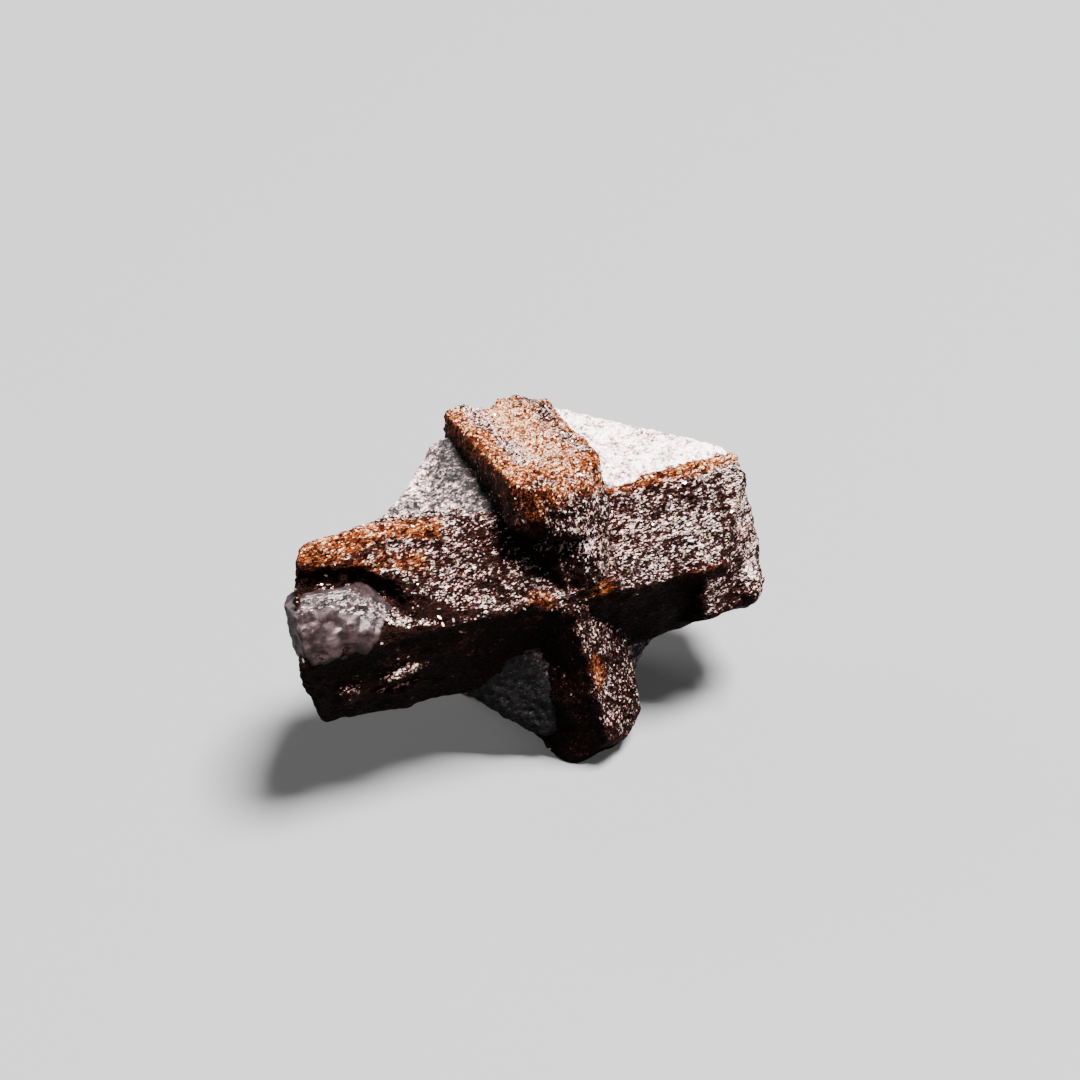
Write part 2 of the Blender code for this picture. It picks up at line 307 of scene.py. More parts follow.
# Lumps grown out of the crystals, given in the same way as the hollows.
LONG_KNOBS = (
    ((13.5, -2.9, 3.2), (1.5, 1.9, 1.9), 0.0),
    ((-12.6, -2.1, 4.0), (2.3, 0.65, 1.2), 8.0),
    ((-16.4, -2.9, 3.6), (1.0, 1.2, 1.1), 0.0),
)
SHORT_KNOBS = (
    ((1.2, 9.6, -6.2), (1.5, 1.5, 1.7), 0.0),
    ((-2.2, 9.5, -6.0), (1.5, 1.4, 1.8), 0.0),
    ((-0.5, 7.4, 5.2), (2.8, 2.3, 1.95), 0.0),
    ((0.9, 3.5, 4.4), (2.1, 3.6, 1.95), 0.0),
    ((-0.5, -0.4, 5.0), (1.7, 1.4, 1.0), 0.0),
)
QUARTZ_BLOCK = ((-20.6, -0.8, 0.5), (-12.6, 6.0, 7.0))
QUARTZ_FACES = (
    ((-16.5, 3.0, 5.55), (-0.03, 0.4, 0.92)),
    ((-16.5, 1.7, 6.05), (-0.03, -0.1, 0.99)),
    ((-16.5, 0.6, 5.85), (-0.03, -0.72, 0.69)),
    ((-16.5, 4.6, 4.0), (0.05, 0.98, -0.2)),
    ((-14.3, 3.4, 5.2), (0.6, 0.7, 0.38)),
    ((-13.6, 1.8, 5.2), (0.75, -0.5, 0.42)),
    ((-17.4, 0.0, 5.0), (0.1, -0.98, 0.1)),
    ((-19.3, 0.9, 4.0), (-0.85, -0.5, 0.1)),
    ((-19.35, 2.6, 3.8), (-0.99, 0.0, 0.0)),
    ((-19.1, 4.1, 3.8), (-0.72, 0.69, 0.0)),
    ((-19.1, 2.8, 2.2), (-0.7, 0.0, -0.7)),
)

# Painted light and shade: the crystals' sides turned to the key light and to the back light are painted
# paler, with more pale flecks and mica flakes, and carry coarser grain; the sides turned away are
# painted
# darker and are smoother. Each: a direction times how quickly the lit look sets in round it.
KEY_LIT_SIDE = np.array((0.27, 0.9, 0.34))
KEY_LIT_GAIN = 1.35
REAR_LIT_SIDE = np.array((-0.45, 0.1, -0.89))
REAR_LIT_GAIN = 0.75
SMOOTH_SHARE = 0.25  # how much of the grain relief is left on the sides turned away from the lights

# How the grains are drawn out: their lengths in the mesh, along u, v and w, and how closely they
# follow each other in the material, along X, Y and Z.
LONG_LENGTHS, LONG_RATES = (1.8, 1.0, 1.0), (0.45, 1.0, 1.0)
SHORT_LENGTHS, SHORT_RATES = (1.0, 1.2, 1.0), (0.8, 0.8, 0.6)

# Relief: a pattern, its size and its depth in mm, and the texture's settings.
CLOUDY = {"noise_depth": 2}
PLAIN = {"noise_depth": 0}
CELLS = {"noise_depth": 0, "noise_basis": "VORONOI_F1"}
CRYSTAL_SWELL = ("CLOUDS", 2.4, 0.7, CLOUDY)
HOLLOW_RELIEF = ("CLOUDS", 0.9, 0.8, CLOUDY)
JAGGED_RELIEF = ("CLOUDS", 0.9, 1.1, {"noise_depth": 1})
CRYSTAL_GRAINS = (  # their depths are shares of the grain depth
    ("CLOUDS", 0.8, 1.2, {"noise_depth": 1}),
    ("CLOUDS", 0.42, 1.6, CELLS),
    ("CLOUDS", 0.26, 1.4, PLAIN),
)
ROCK_RELIEF = (
    ("CLOUDS", 2.4, 0.3, CLOUDY),
    ("CLOUDS", 0.55, 0.2, CELLS),
    ("CLOUDS", 0.3, 0.12, PLAIN),
)
QUARTZ_RELIEF = (
    ("VORONOI", 1.5, 0.4, {}),
    ("CLOUDS", 0.5, 0.14, CLOUDY),
    ("CLOUDS", 0.35, 0.08, CELLS),
)
ROUGH_ROCK_VOXEL = 0.3  # mm
ROUGH_ROCK_WEAR = 24  # smoothing passes, as are the next two
ROCK_WEAR = 4
QUARTZ_WEAR = 8

# Rust: strokes along the crystals, each a start, an end, a reach and a strength.
LONG_RUST = (
    ((-18.6, 7.0, 3.0), (-13.4, 7.7, 2.9), 1.5, 1.0),
    ((-13.4, 7.7, 2.9), (-9.0, 7.0, 3.2), 1.0, 0.8),
    ((-12.6, 6.0, 3.8), (-10.6, 5.2, 4.2), 1.1, 0.7),
    ((-15.2, 6.0, 4.0), (-13.4, 5.6, 4.2), 0.8, 0.9),
    ((3.0, 6.8, 3.2), (14.5, 6.8, 3.0), 0.9, 0.8),
    ((8.5, 0.2, 5.9), (12.5, 0.0, 5.8), 0.8, 0.6),
    ((1.2, 0.7, 5.9), (2.2, 0.6, 5.9), 0.8, 0.7),
    ((-3.0, 1.2, 5.8), (-2.2, 1.0, 5.8), 0.9, 0.7),
    ((-15.5, -3.4, 4.0), (-11.0, -3.6, 3.8), 1.2, 0.5),
)
# Where the rock is painted darker: partly dark, mica-rich schist, partly painted shade where the rock
# lies under the arms and beside the short crystal's top arm.
DARK_SCHIST_AND_SHADE = (
    ((-7.0, -6.0, 2.0), (-2.0, -10.0, 2.0), 6.0, 2.0),
    ((7.0, -6.0, 0.0), (2.0, -10.0, 0.0), 5.0, 1.1),
    ((-4.0, 7.0, 3.0), (-4.0, 9.0, -4.0), 3.6, 1.0),
    ((-4.0, 8.0, -2.0), (-12.0, 7.4, 2.0), 3.0, 0.7),
)
# Where pale grains crowd together, partly pale seams of quartz and mica, partly painted highlights; and
# where the crystal is dark umber, partly its own dark colour, mostly painted shade in hollows, under
# overhangs and on faces turned from the lights.
LONG_PALE_AND_LIT = (
    ((-14.4, 3.2, 5.0), (-12.2, 2.3, 5.5), 0.6, 0.9),
    ((-14.0, 2.6, 5.3), (-8.4, 0.55, 5.9), 0.35, 1.5),
    ((13.6, 5.5, 3.6), (14.0, -3.4, 4.0), 1.6, 1.05),
    ((4.0, 2.8, 5.2), (13.0, 2.8, 5.0), 3.4, 0.28),
    ((10.2, -1.0, 5.4), (10.2, -4.0, 5.0), 0.9, 0.8),
    ((-14.0, -2.2, 4.8), (-10.8, -1.9, 4.9), 1.4, 0.45),
    ((-16.6, -2.4, 4.6), (-16.2, -3.2, 4.2), 1.1, 0.4),
)
LONG_UMBER_AND_SHADE = (
    ((-18.6, 5.2, 3.9), (-15.0, 4.5, 4.2), 1.3, 0.6),
    ((-15.0, 4.5, 4.2), (-12.4, 3.1, 4.8), 1.3, 0.6),
    ((-12.4, 3.1, 4.8), (-9.2, 1.5, 5.7), 0.8, 0.9),
    ((-14.6, 1.3, 5.8), (-10.0, 0.7, 6.0), 0.6, 1.3),
    ((-19.0, 0.5, 5.6), (-14.6, 0.3, 6.0), 1.0, 1.2),
    ((8.6, -0.2, 5.6), (11.4, -0.4, 5.4), 0.4, 0.5),
)
SHORT_PALE_AND_LIT = (
    ((-0.8, 10.3, -7.0), (-0.2, 10.2, 3.0), 2.2, 1.0),
    ((-1.6, 6.4, 7.0), (1.8, 6.6, 6.8), 1.3, 1.1),
    ((0.6, 5.0, 6.2), (2.0, 2.0, 5.6), 1.6, 1.2),
)
SHORT_UMBER_AND_SHADE = (
    ((-3.6, 7.0, 5.8), (-2.0, 5.4, 6.4), 0.9, 0.2),
    ((-3.4, -3.0, 3.6), (-2.6, -11.0, 3.6), 1.6, 0.5),
)
SHORT_RUST = (
    ((-3.5, 10.2, -8.0), (-3.4, 9.9, 4.0), 1.3, 1.0),
    ((-3.4, 9.6, 4.6), (2.6, 9.6, 5.0), 1.5, 0.9),
    ((3.0, 10.2, -8.0), (2.9, 9.9, 3.0), 1.1, 0.7),
    ((0.0, 10.3, -8.0), (0.0, 10.3, 4.0), 2.6, 0.75),
    ((-3.2, 8.7, 6.2), (2.4, 8.5, 6.0), 1.2, 0.8),
    ((-2.8, 8.4, 6.0), (-2.6, 6.8, 6.3), 0.9, 0.7),
    ((0.9, -4.9, 5.6), (1.3, -6.0, 5.5), 1.0, 0.9),
    ((1.4, -11.4, 5.2), (2.2, -11.6, 4.6), 0.8, 0.9),
)
# Where a silvery skin of mica covers the quartz.
QUARTZ_SILVER = (
    ((-19.2, 4.7, 4.6), (-16.2, 4.5, 4.8), 0.9, 0.9),
    ((-16.2, 4.4, 4.9), (-14.0, 3.0, 5.3), 1.0, 0.95),
)
STROKE_FALL = 1.6  # a stroke fades out at this many times its reach


# ---- modelling helpers


def deselect():
    bpy.ops.object.select_all(action="DESELECT")


def only(*items):
    """Selects these objects alone and makes the first the active one."""
    deselect()
    for item in items:
        item.select_set(True)
    bpy.context.view_layer.objects.active = items[0]


def settle():
    """Puts the selected objects' place, turn and size into their meshes."""
    bpy.ops.object.transform_apply(location=True, rotation=True, scale=True)


def just_added(name):
    """The newest object, named and settled."""
    item = bpy.context.object
    item.name = name
    settle()
    return item


def modify(item, kind, **settings):
    """Adds a modifier, sets it and applies it."""
    only(item)
    bpy.ops.object.modifier_add(type=kind)
    step = item.modifiers[-1]
    for key, value in settings.items():
        setattr(step, key, value)
    bpy.ops.object.modifier_apply(modifier=step.name)


def cleave(item, faces):
    """Cuts item down by its faces, in mm, and closes each cut."""
    only(item)
    bpy.ops.object.mode_set(mode="EDIT")
    for through, looks in faces:
        bpy.ops.mesh.select_all(action="SELECT")
        bpy.ops.mesh.bisect(
            plane_co=Vector(through) * MM, plane_no=looks,
            use_fill=True, clear_outer=True, threshold=TOUCH,
        )
    bpy.ops.mesh.select_all(action="SELECT")
    bpy.ops.mesh.normals_make_consistent(inside=False)
    bpy.ops.object.mode_set(mode="OBJECT")


def cleaved_block(name, low, high, faces):
    """A block from one corner to the other, in mm, cut down by its faces."""
    low, high = Vector(low) * MM, Vector(high) * MM
    deselect()
    bpy.ops.mesh.primitive_cube_add(size=1.0, location=(low + high) / 2, scale=high - low)
    block = just_added(name)
    cleave(block, faces)
    return block


def lump(name, centre, half_sizes, turn):
    """A rounded lump, in mm, turned about w."""
    deselect()
    bpy.ops.mesh.primitive_ico_sphere_add(
        subdivisions=4, radius=1.0, location=Vector(centre) * MM,
        rotation=(0.0, 0.0, math.radians(turn)), scale=Vector(half_sizes) * MM,
    )
    return just_added(name)


def rod(name, centre, along, radius):
    """A round rod, in mm, long enough to pass right through a wedge of rock."""
    turn = Vector((0, 0, 1)).rotation_difference(Vector(along)).to_euler()
    deselect()
    bpy.ops.mesh.primitive_cylinder_add(
        vertices=ROD_SIDES, radius=radius * MM, depth=FILLET_LENGTH * MM,
        location=Vector(centre) * MM, rotation=turn,
    )
    return just_added(name)


def hollow(item, cutter):
    """Takes the cutter out of item and removes the cutter."""
    modify(item, "BOOLEAN", operation="DIFFERENCE", solver="EXACT", object=cutter)
    bpy.data.objects.remove(cutter)


def joined(name, *items):
    """One mesh of all the items, named."""
    only(*items)
    if len(items) > 1:
        bpy.ops.object.join()
    items[0].name = items[0].data.name = name
    return items[0]


def one_skin(item, voxel, wear):
    """One closed skin round overlapping parts, its edges worn by smoothing passes."""
    modify(item, "REMESH", mode="VOXEL", voxel_size=voxel * MM, adaptivity=0.0)
    modify(item, "SMOOTH", factor=0.5, iterations=wear)


def read_points(layer, name, width):
    """One row of numbers per point of a mesh."""
    found = np.empty(len(layer) * width, np.float32)
    layer.foreach_get(name, found)
    return found.reshape(-1, width)


def points_of(item):
    return read_points(item.data.vertices, "co", 3)


def normals_of(item):
    return read_points(item.data.vertex_normals, "vector", 3)


def note(item, name, values):
    """Stores one number per point, for the materials and the modifiers to read."""
    layer = item.data.attributes.get(name) or item.data.attributes.new(name, "FLOAT", "POINT")
    layer.data.foreach_set("value", np.asarray(values, np.float32))


def roughen(item, relief, stretch=(1.0, 1.0, 1.0), group="", times=1.0):
    """Moves the surface in and out by a solid pattern, its depth times a share."""
    pattern, size, depth, settings = relief
    texture = bpy.data.textures.new(f"{item.name} {pattern} {size}", type=pattern)
    texture.noise_scale = size * MM
    for key, value in settings.items():
        setattr(texture, key, value)
    deselect()
    bpy.ops.object.empty_add(location=(0.0, 0.0, 0.0))
    grid = bpy.context.object
    grid.scale = stretch
    bpy.context.view_layer.update()
    modify(
        item, "DISPLACE", texture=texture, strength=depth * times * MM, mid_level=0.5,
        texture_coords="OBJECT", texture_coords_object=grid, vertex_group=group,
    )
    bpy.data.objects.remove(grid)


def near_stroke(points, start, end, reach):
    """1 on a stroke, falling smoothly to 0 some way past its reach. All in mm."""
    start, end = np.array(start), np.array(end)
    along = end - start
    share = np.clip((points - start) @ along / (along @ along), 0.0, 1.0)
    gap = np.linalg.norm(points - start - share[:, None] * along, axis=1)
    close = np.clip(1.0 - gap / (reach * STROKE_FALL), 0.0, 1.0)
    return close * close * (3.0 - 2.0 * close)


def stroke_level(item, strokes):
    """How strongly a set of strokes marks each point of an item."""
    points = points_of(item) / MM
    level = np.zeros(len(points))
    for start, end, reach, strength in strokes:
        level = np.maximum(level, strength * near_stroke(points, start, end, reach))
    return level


def weigh(item, name, values):
    """A vertex group whose weights go in even steps."""
    group = item.vertex_groups.new(name=name)
    steps = np.round(np.clip(values, 0.0, 1.0) * WEIGHT_STEPS).astype(int)
    for step in np.unique(steps):
        group.add(np.nonzero(steps == step)[0].tolist(), step / WEIGHT_STEPS, "REPLACE")


def note_relief(item, before, looks, depth):
    """Stores how proud each point now stands of the plain surface: 0 in pits, 1 on grains."""
    raised = np.einsum("ij,ij->i", points_of(item) - before, looks) / (depth * MM)
    note(item, "proud", np.clip(0.5 + 0.5 * raised, 0.0, 1.0))


def stand_up(item, sizes):
    """Turns a piece from the cross's frame to the world and cuts off what is under the floor."""
    upright = Matrix(((1, 0, 0, 0), (0, 0, -1, 0), (0, 1, 0, 0), (0, 0, 0, 1)))
    only(item)
    leaning = Matrix.Rotation(-sizes.lean, 4, "X") @ upright
    item.matrix_world = Matrix.Translation(sizes.crossing) @ leaning
    settle()
    if min(points_of(item)[:, 2]) < 0.0:
        cleave(item, (((0.0, 0.0, 0.0), (0.0, 0.0, -1.0)),))
    only(item)
    bpy.ops.object.shade_smooth()


def hand_over(item):
    """Joins a finished piece to the frame, in place of the plain solid."""
    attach(item, "root")
    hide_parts(NODE)


def finish(item, sizes, paint, material):
    """Stores a shaped piece's painted levels, stands it up, coats it and hands it over."""
    for layer, strokes in paint.items():
        note(item, layer, stroke_level(item, strokes))
    stand_up(item, sizes)
    item.data.materials.append(material)
    hand_over(item)


# ---- node helpers


def feed(tree, socket, value):
    """Gives a socket a value or another node's output."""
    if isinstance(value, bpy.types.NodeSocket):
        tree.links.new(value, socket)
    else:
        socket.default_value = value


def node(tree, kind, inputs=None, **settings):
    """A node with its settings and inputs."""
    made = tree.nodes.new(kind)
    for key, value in settings.items():
        setattr(made, key, value)
    for key, value in (inputs or {}).items():
        feed(tree, made.inputs[key], value)
    return made


def maths(tree, operation, *values):
    return node(tree, "ShaderNodeMath", dict(enumerate(values)), operation=operation).outputs[0]


def total(tree, start, *terms):
    """A start, plus each value times its weight."""
    for value, weight in terms:
        start = maths(tree, "MULTIPLY_ADD", value, weight, start)
    return start


def vector_maths(tree, operation, *values):
    return node(tree, "ShaderNodeVectorMath", dict(enumerate(values)), operation=operation).outputs[0]


def resized(tree, vector, times):
    """A vector times a number."""
    return node(tree, "ShaderNodeVectorMath", {0: vector, "Scale": times}, operation="SCALE").outputs[0]


def blend(tree, factor, first, second, kind="MIX"):
    """A mix of two colours."""
    inputs = {0: factor, 6: first, 7: second}
    return node(tree, "ShaderNodeMix", inputs, data_type="RGBA", blend_type=kind).outputs[2]


def band(tree, value, low, high):
    """0 below low, 1 above high, smooth between."""
    made = node(
        tree, "ShaderNodeMapRange", {"Value": value, "From Min": low, "From Max": high},
        interpolation_type="SMOOTHSTEP",
    )
    return made.outputs[0]


def noise(tree, vector, size, detail=3.0, roughness=0.55, output="Fac"):
    """Cloudy noise whose blobs are about size mm across."""
    made = node(
        tree, "ShaderNodeTexNoise",
        {"Vector": vector, "Scale": 1.0 / (size * MM), "Detail": detail, "Roughness": roughness},
    )
    return made.outputs[output]


def new_group(name, inputs, outputs):
    """An empty shader node group with named sockets: the tree, and its input and output nodes."""
    tree = bpy.data.node_groups.new(name, "ShaderNodeTree")
    for socket_name, kind in inputs:
        tree.interface.new_socket(socket_name, in_out="INPUT", socket_type=kind)
    for socket_name, kind in outputs:
        tree.interface.new_socket(socket_name, in_out="OUTPUT", socket_type=kind)
    return tree, tree.nodes.new("NodeGroupInput").outputs, tree.nodes.new("NodeGroupOutput").inputs


FLOAT, VECTOR, COLOUR = "NodeSocketFloat", "NodeSocketVector", "NodeSocketColor"
MIDDLE = (0.5, 0.5, 0.5)  # a random colour's mean
BLACK = (0.0, 0.0, 0.0, 1.0)


def grain_group():
    """Angular grains of one size: each one's tone and height, and its facet's normal."""
    tree, given, out = new_group(
        "Angular grains",
        (("Vector", VECTOR), ("Per Metre", FLOAT), ("Stretch", VECTOR), ("Wobble", FLOAT),
         ("Normal", VECTOR), ("Tilt", FLOAT)),
        (("Tone", FLOAT), ("Height", FLOAT), ("Normal", VECTOR)),
    )
    stretched = vector_maths(tree, "MULTIPLY", given["Vector"], given["Stretch"])
    scaled = resized(tree, stretched, given["Per Metre"])
    drift = node(tree, "ShaderNodeTexNoise", {"Vector": scaled, "Scale": 1.1, "Detail": 2.0})
    centred = vector_maths(tree, "SUBTRACT", drift.outputs["Color"], MIDDLE)
    place = vector_maths(tree, "ADD", scaled, resized(tree, centred, given["Wobble"]))
    cells = node(tree, "ShaderNodeTexVoronoi", {"Vector": place, "Scale": 1.0, "Randomness": 1.0})
    parts = node(tree, "ShaderNodeSeparateColor", {"Color": cells.outputs["Color"]})
    tree.links.new(parts.outputs["Red"], out["Tone"])
    dome = maths(tree, "SUBTRACT", 1.0, cells.outputs["Distance"])
    tree.links.new(total(tree, dome, (parts.outputs["Blue"], 0.6)), out["Height"])
    lean = vector_maths(tree, "SUBTRACT", cells.outputs["Color"], MIDDLE)
    turned = vector_maths(tree, "ADD", given["Normal"], resized(tree, lean, given["Tilt"]))
    tree.links.new(vector_maths(tree, "NORMALIZE", turned), out["Normal"])
    return tree


def rust_group():
    """Rust: a painted level broken up by fine and coarse noise, with its own orange shades."""
    tree, given, out = new_group(
        "Rust veil",
        (("Vector", VECTOR), ("Painted", FLOAT), ("Colour", COLOUR)),
        (("Mask", FLOAT), ("Colour", COLOUR)),
    )
    coarse, fine = noise(tree, given["Vector"], 2.2, 4.0), noise(tree, given["Vector"], 0.35, 4.0, 0.7)
    level = total(tree, given["Painted"], (coarse, 0.7), (fine, 0.6))
    tree.links.new(band(tree, level, 0.89, 1.44), out["Mask"])
    deep = blend(tree, 1.0, given["Colour"], (0.45, 0.3, 0.4, 1.0), "MULTIPLY")
    light = blend(tree, 0.25, given["Colour"], (0.5, 0.16, 0.04, 1.0))
    shade = noise(tree, given["Vector"], 0.6, 3.0)
    tree.links.new(blend(tree, band(tree, shade, 0.35, 0.65), deep, light), out["Colour"])
    return tree


def use_group(tree, name, build, inputs):
    """Places a node group, built the first time."""
    shared = bpy.data.node_groups.get(name) or build()
    return node(tree, "ShaderNodeGroup", inputs, node_tree=shared).outputs


def grained(tree, place, normal, *layers):
    """Grains with finer ones on them. Each layer: how many per metre, stretch, wobble and tilt."""
    made = []
    for per_metre, stretch, wobble, tilt in layers:
        inputs = {
            "Vector": place, "Per Metre": per_metre, "Stretch": stretch, "Wobble": wobble,
            "Normal": normal, "Tilt": tilt,
        }
        made.append(use_group(tree, "Angular grains", grain_group, inputs))
        normal = made[-1]["Normal"]
    return made


def new_material(name, **constants):
    """A material with a Principled shader: its tree, shader, object coordinates and plain normal."""
    material = bpy.data.materials.new(name)
    material.use_nodes = True
    tree = material.node_tree
    shader = tree.nodes["Principled BSDF"]
    for key, value in constants.items():
        shader.inputs[key.replace("_", " ")].default_value = value
    place = node(tree, "ShaderNodeTexCoord").outputs["Object"]
    normal = node(tree, "ShaderNodeNewGeometry").outputs["Normal"]
    return material, tree, shader, place, normal


def opaque(value):
    return (*value, 1.0)


def attribute(tree, name):
    return node(tree, "ShaderNodeAttribute", attribute_name=name).outputs["Fac"]


def ramp(tree, value, *stops):
    """Colours along a value: each stop a place and a colour."""
    made = node(tree, "ShaderNodeValToRGB", {"Fac": value})
    line = made.color_ramp
    for _ in stops[2:]:
        line.elements.new(0.5)
    for element, (place, shade) in zip(line.elements, stops):
        element.position, element.color = place, opaque(shade)
    return made.outputs["Color"]


def coat(tree, shader, colour, rough):
    """Sets a shader's colour and roughness."""
    feed(tree, shader.inputs["Base Color"], colour)
    feed(tree, shader.inputs["Roughness"], rough)


def emboss(tree, shader, strength, depth, height, normal):
    """Gives a shader fine relief, its depth in mm."""
    inputs = {"Strength": strength, "Distance": depth * MM, "Height": height, "Normal": normal}
    feed(tree, shader.inputs["Normal"], node(tree, "ShaderNodeBump", inputs).outputs["Normal"])


EVEN = (1.0, 1.0, 1.0)
UMBER_GRAIN = (0.075, 0.045, 0.04)
RED_WASH = (1.0, 0.68, 0.6, 1.0)
RUST_PIT = (0.006, 0.001, 0.0004, 1.0)
RUSTY_FLECK = (0.88, 0.5, 0.27, 1.0)
# The rock's darkest colour, reached mostly in its painted shade.
ROCK_DARKEST_AND_SHADE = (0.006, 0.005, 0.005)
ROCK_FLECK = (0.95, 0.86, 0.84)
QUARTZ_VEIL = (0.036, 0.0215, 0.0225, 1.0)
DARK_FLAKE, SILVER_FLAKE = (0.01, 0.006, 0.0065, 1.0), (0.48, 0.4, 0.4, 1.0)
BROWN_MICA = (0.16, 0.07, 0.055, 1.0)


def staurolite(name, colours, along):
    """Red-brown crystal full of pale grains, drawn out along one axis, with rust where painted."""
    material, tree, shader, place, normal = new_material(
        name, IOR=1.6, Specular_IOR_Level=0.05, Specular_Tint=(1.0, 0.5, 0.4, 1.0)
    )
    grains, specks = grained(
        tree, place, normal, (8600.0, along, 1.7, 1.0), (15000.0, along, 1.3, 0.8)
    )
    proud, patchy = attribute(tree, "proud"), noise(tree, place, 1.3, 4.0, 0.6)
    # A middling grain on a face turned full to the lights comes to 0.5. Painted light and shade: the
    # lit-side level makes faces turned to the lights paler and those turned away darker; the pale
    # strokes add pale grains and painted highlights, and the umber strokes darken, mostly as painted
    # shade.
    level = total(
        tree, -0.655, (grains["Tone"], 0.5), (specks["Tone"], 0.5), (patchy, 0.45), (proud, 0.3),
        (attribute(tree, "sparkle"), 0.28), (attribute(tree, "pale"), 0.2),
        (attribute(tree, "umber"), -0.45),
    )
    body = ramp(
        tree, level, (0.47, colours.dark_staurolite), (0.62, colours.red_staurolite),
        (0.72, UMBER_GRAIN), (0.82, colours.pale_fleck),
    )
    redder = band(tree, noise(tree, place, 2.2, 3.0), 0.35, 0.65)
    body = blend(tree, maths(tree, "MULTIPLY", redder, 0.6), body, RED_WASH, "MULTIPLY")
    tint = noise(tree, place, 0.28, 2.0, 0.6, output="Color")
    body = blend(tree, 0.75, body, tint, "OVERLAY")
    stain = {"Vector": place, "Painted": attribute(tree, "rust"), "Colour": opaque(colours.rust)}
    rust = use_group(tree, "Rust veil", rust_group, stain)
    stained = blend(tree, band(tree, level, 0.25, 0.62), RUST_PIT, rust["Colour"])
    stained = blend(tree, band(tree, level, 0.7, 0.92), stained, RUSTY_FLECK)
    body = blend(tree, rust["Mask"], body, stained)
    # Painted shade: the deepest points of the grain relief are darkened towards dark staurolite.
    pit_shade = total(tree, 0.9, (band(tree, proud, 0.0, 0.35), -0.9))
    body = blend(tree, pit_shade, body, opaque(colours.dark_staurolite))
    pale = band(tree, level, 0.66, 0.86)
    tree.links.new(maths(tree, "MULTIPLY", pale, 0.3), shader.inputs["Metallic"])
    coat(tree, shader, body, total(tree, 0.46, (pale, -0.14), (rust["Mask"], 0.15)))
    height = total(tree, grains["Height"], (specks["Height"], 0.5))
    emboss(tree, shader, 0.9, 0.08, height, specks["Normal"])
    return material


def matrix_rock(colours):
    """Fine sugary rock: pale quartz grains and greyer mica, mottled, darker where painted as dark schist
    and as painted shade.
    """
    material, tree, shader, place, normal = new_material("matrix rock", Specular_IOR_Level=0.15)
    grains, specks = grained(tree, place, normal, (3600.0, EVEN, 1.3, 0.55), (8000.0, EVEN, 1.2, 0.4))
    mottle, dull = noise(tree, place, 1.1, 4.0, 0.6), attribute(tree, "dull")
    # A middling grain of pale rock comes to 0.8.
    # Painted shade: the painted dark level pulls the rock down to grey and to its darkest colour.
    level = total(tree, -0.4, (grains["Tone"], 0.5), (specks["Tone"], 0.5), (mottle, 1.4), (dull, -0.75))
    body = ramp(
        tree, level, (0.12, ROCK_DARKEST_AND_SHADE), (0.44, colours.grey_rock), (0.75, colours.pale_rock),
        (1.0, ROCK_FLECK),
    )
    coat(tree, shader, body, total(tree, 0.75, (specks["Tone"], -0.35)))
    height = total(tree, grains["Height"], (specks["Height"], 0.5))
    emboss(tree, shader, 0.8, 0.08, height, specks["Normal"])
    return material


def quartz(colours):
    """Cloudy, slightly see-through quartz with pale veils and a silvery skin of mica on top."""
    material, tree, shader, place, normal = new_material(
        "cloudy quartz", IOR=1.54, Transmission_Weight=0.12, Specular_IOR_Level=0.2,
        Specular_Tint=(1.0, 0.8, 0.8, 1.0),
    )
    grains, flakes = grained(
        tree, place, normal, (1900.0, (0.7, 1.0, 1.0), 1.4, 0.3), (8500.0, (0.5, 1.0, 1.0), 1.7, 0.9)
    )
    veils = band(tree, noise(tree, place, 1.1, 5.0, 0.65), 0.4, 0.68)
    body = blend(tree, veils, opaque(colours.cloudy_quartz), QUARTZ_VEIL)
    level = total(tree, -0.4, (flakes["Tone"], 0.7), (noise(tree, place, 0.3, 3.0), 0.8))
    silver = band(tree, maths(tree, "ADD", attribute(tree, "silver"), level), 0.9, 1.4)
    flake_tone = blend(tree, band(tree, level, 0.35, 0.8), DARK_FLAKE, SILVER_FLAKE)
    rough = total(tree, 0.4, (veils, 0.15), (silver, 0.2))
    coat(tree, shader, blend(tree, silver, body, flake_tone), rough)
    height = total(tree, 0.0, (grains["Height"], 0.6), (flakes["Height"], silver))
    normals = {0: silver, 4: grains["Normal"], 5: flakes["Normal"]}
    skin = node(tree, "ShaderNodeMix", normals, data_type="VECTOR")
    emboss(tree, shader, 0.6, 0.07, height, skin.outputs[1])
    return material


def mica(colours):
    """Silvery flakes, each with its own tone."""
    material, tree, shader, _, _ = new_material("mica flakes", IOR=1.58, Metallic=0.6)
    tone = attribute(tree, "tone")
    body = blend(tree, tone, opaque(colours.mica), BROWN_MICA)
    coat(tree, shader, body, total(tree, 0.18, (tone, 0.3)))
    return material


# ---- pieces


def lumps(name, shapes):
    return [lump(f"{name} {number}", *shape) for number, shape in enumerate(shapes)]


def grow(name, parts, jagged, detail, stretch):
    """A crystal's skin from its blocks: worn, uneven, jagged where broken, and grained."""
    crystal = joined(name, *parts)
    one_skin(crystal, detail.crystal_voxel, detail.edge_wear)
    roughen(crystal, CRYSTAL_SWELL)
    modify(crystal, "SMOOTH", factor=0.5, iterations=2)
    weigh(crystal, "jagged", stroke_level(crystal, jagged))
    roughen(crystal, JAGGED_RELIEF, group="jagged")
    before, looks = points_of(crystal), normals_of(crystal)
    # Painted light: how far each face turns to the key and back lights; it sets the grain depth, and the
    # material paints the lit faces paler.
    lit_side = np.maximum(KEY_LIT_GAIN * looks @ KEY_LIT_SIDE, REAR_LIT_GAIN * looks @ REAR_LIT_SIDE)
    lit_side = np.clip(lit_side, 0.0, 1.0)
    weigh(crystal, "grain", SMOOTH_SHARE + (1.0 - SMOOTH_SHARE) * lit_side)
    for relief in CRYSTAL_GRAINS:
        roughen(crystal, relief, stretch, "grain", times=detail.grain_depth)
    note_relief(crystal, before, looks, detail.grain_depth)
    note(crystal, "sparkle", lit_side)
    return crystal


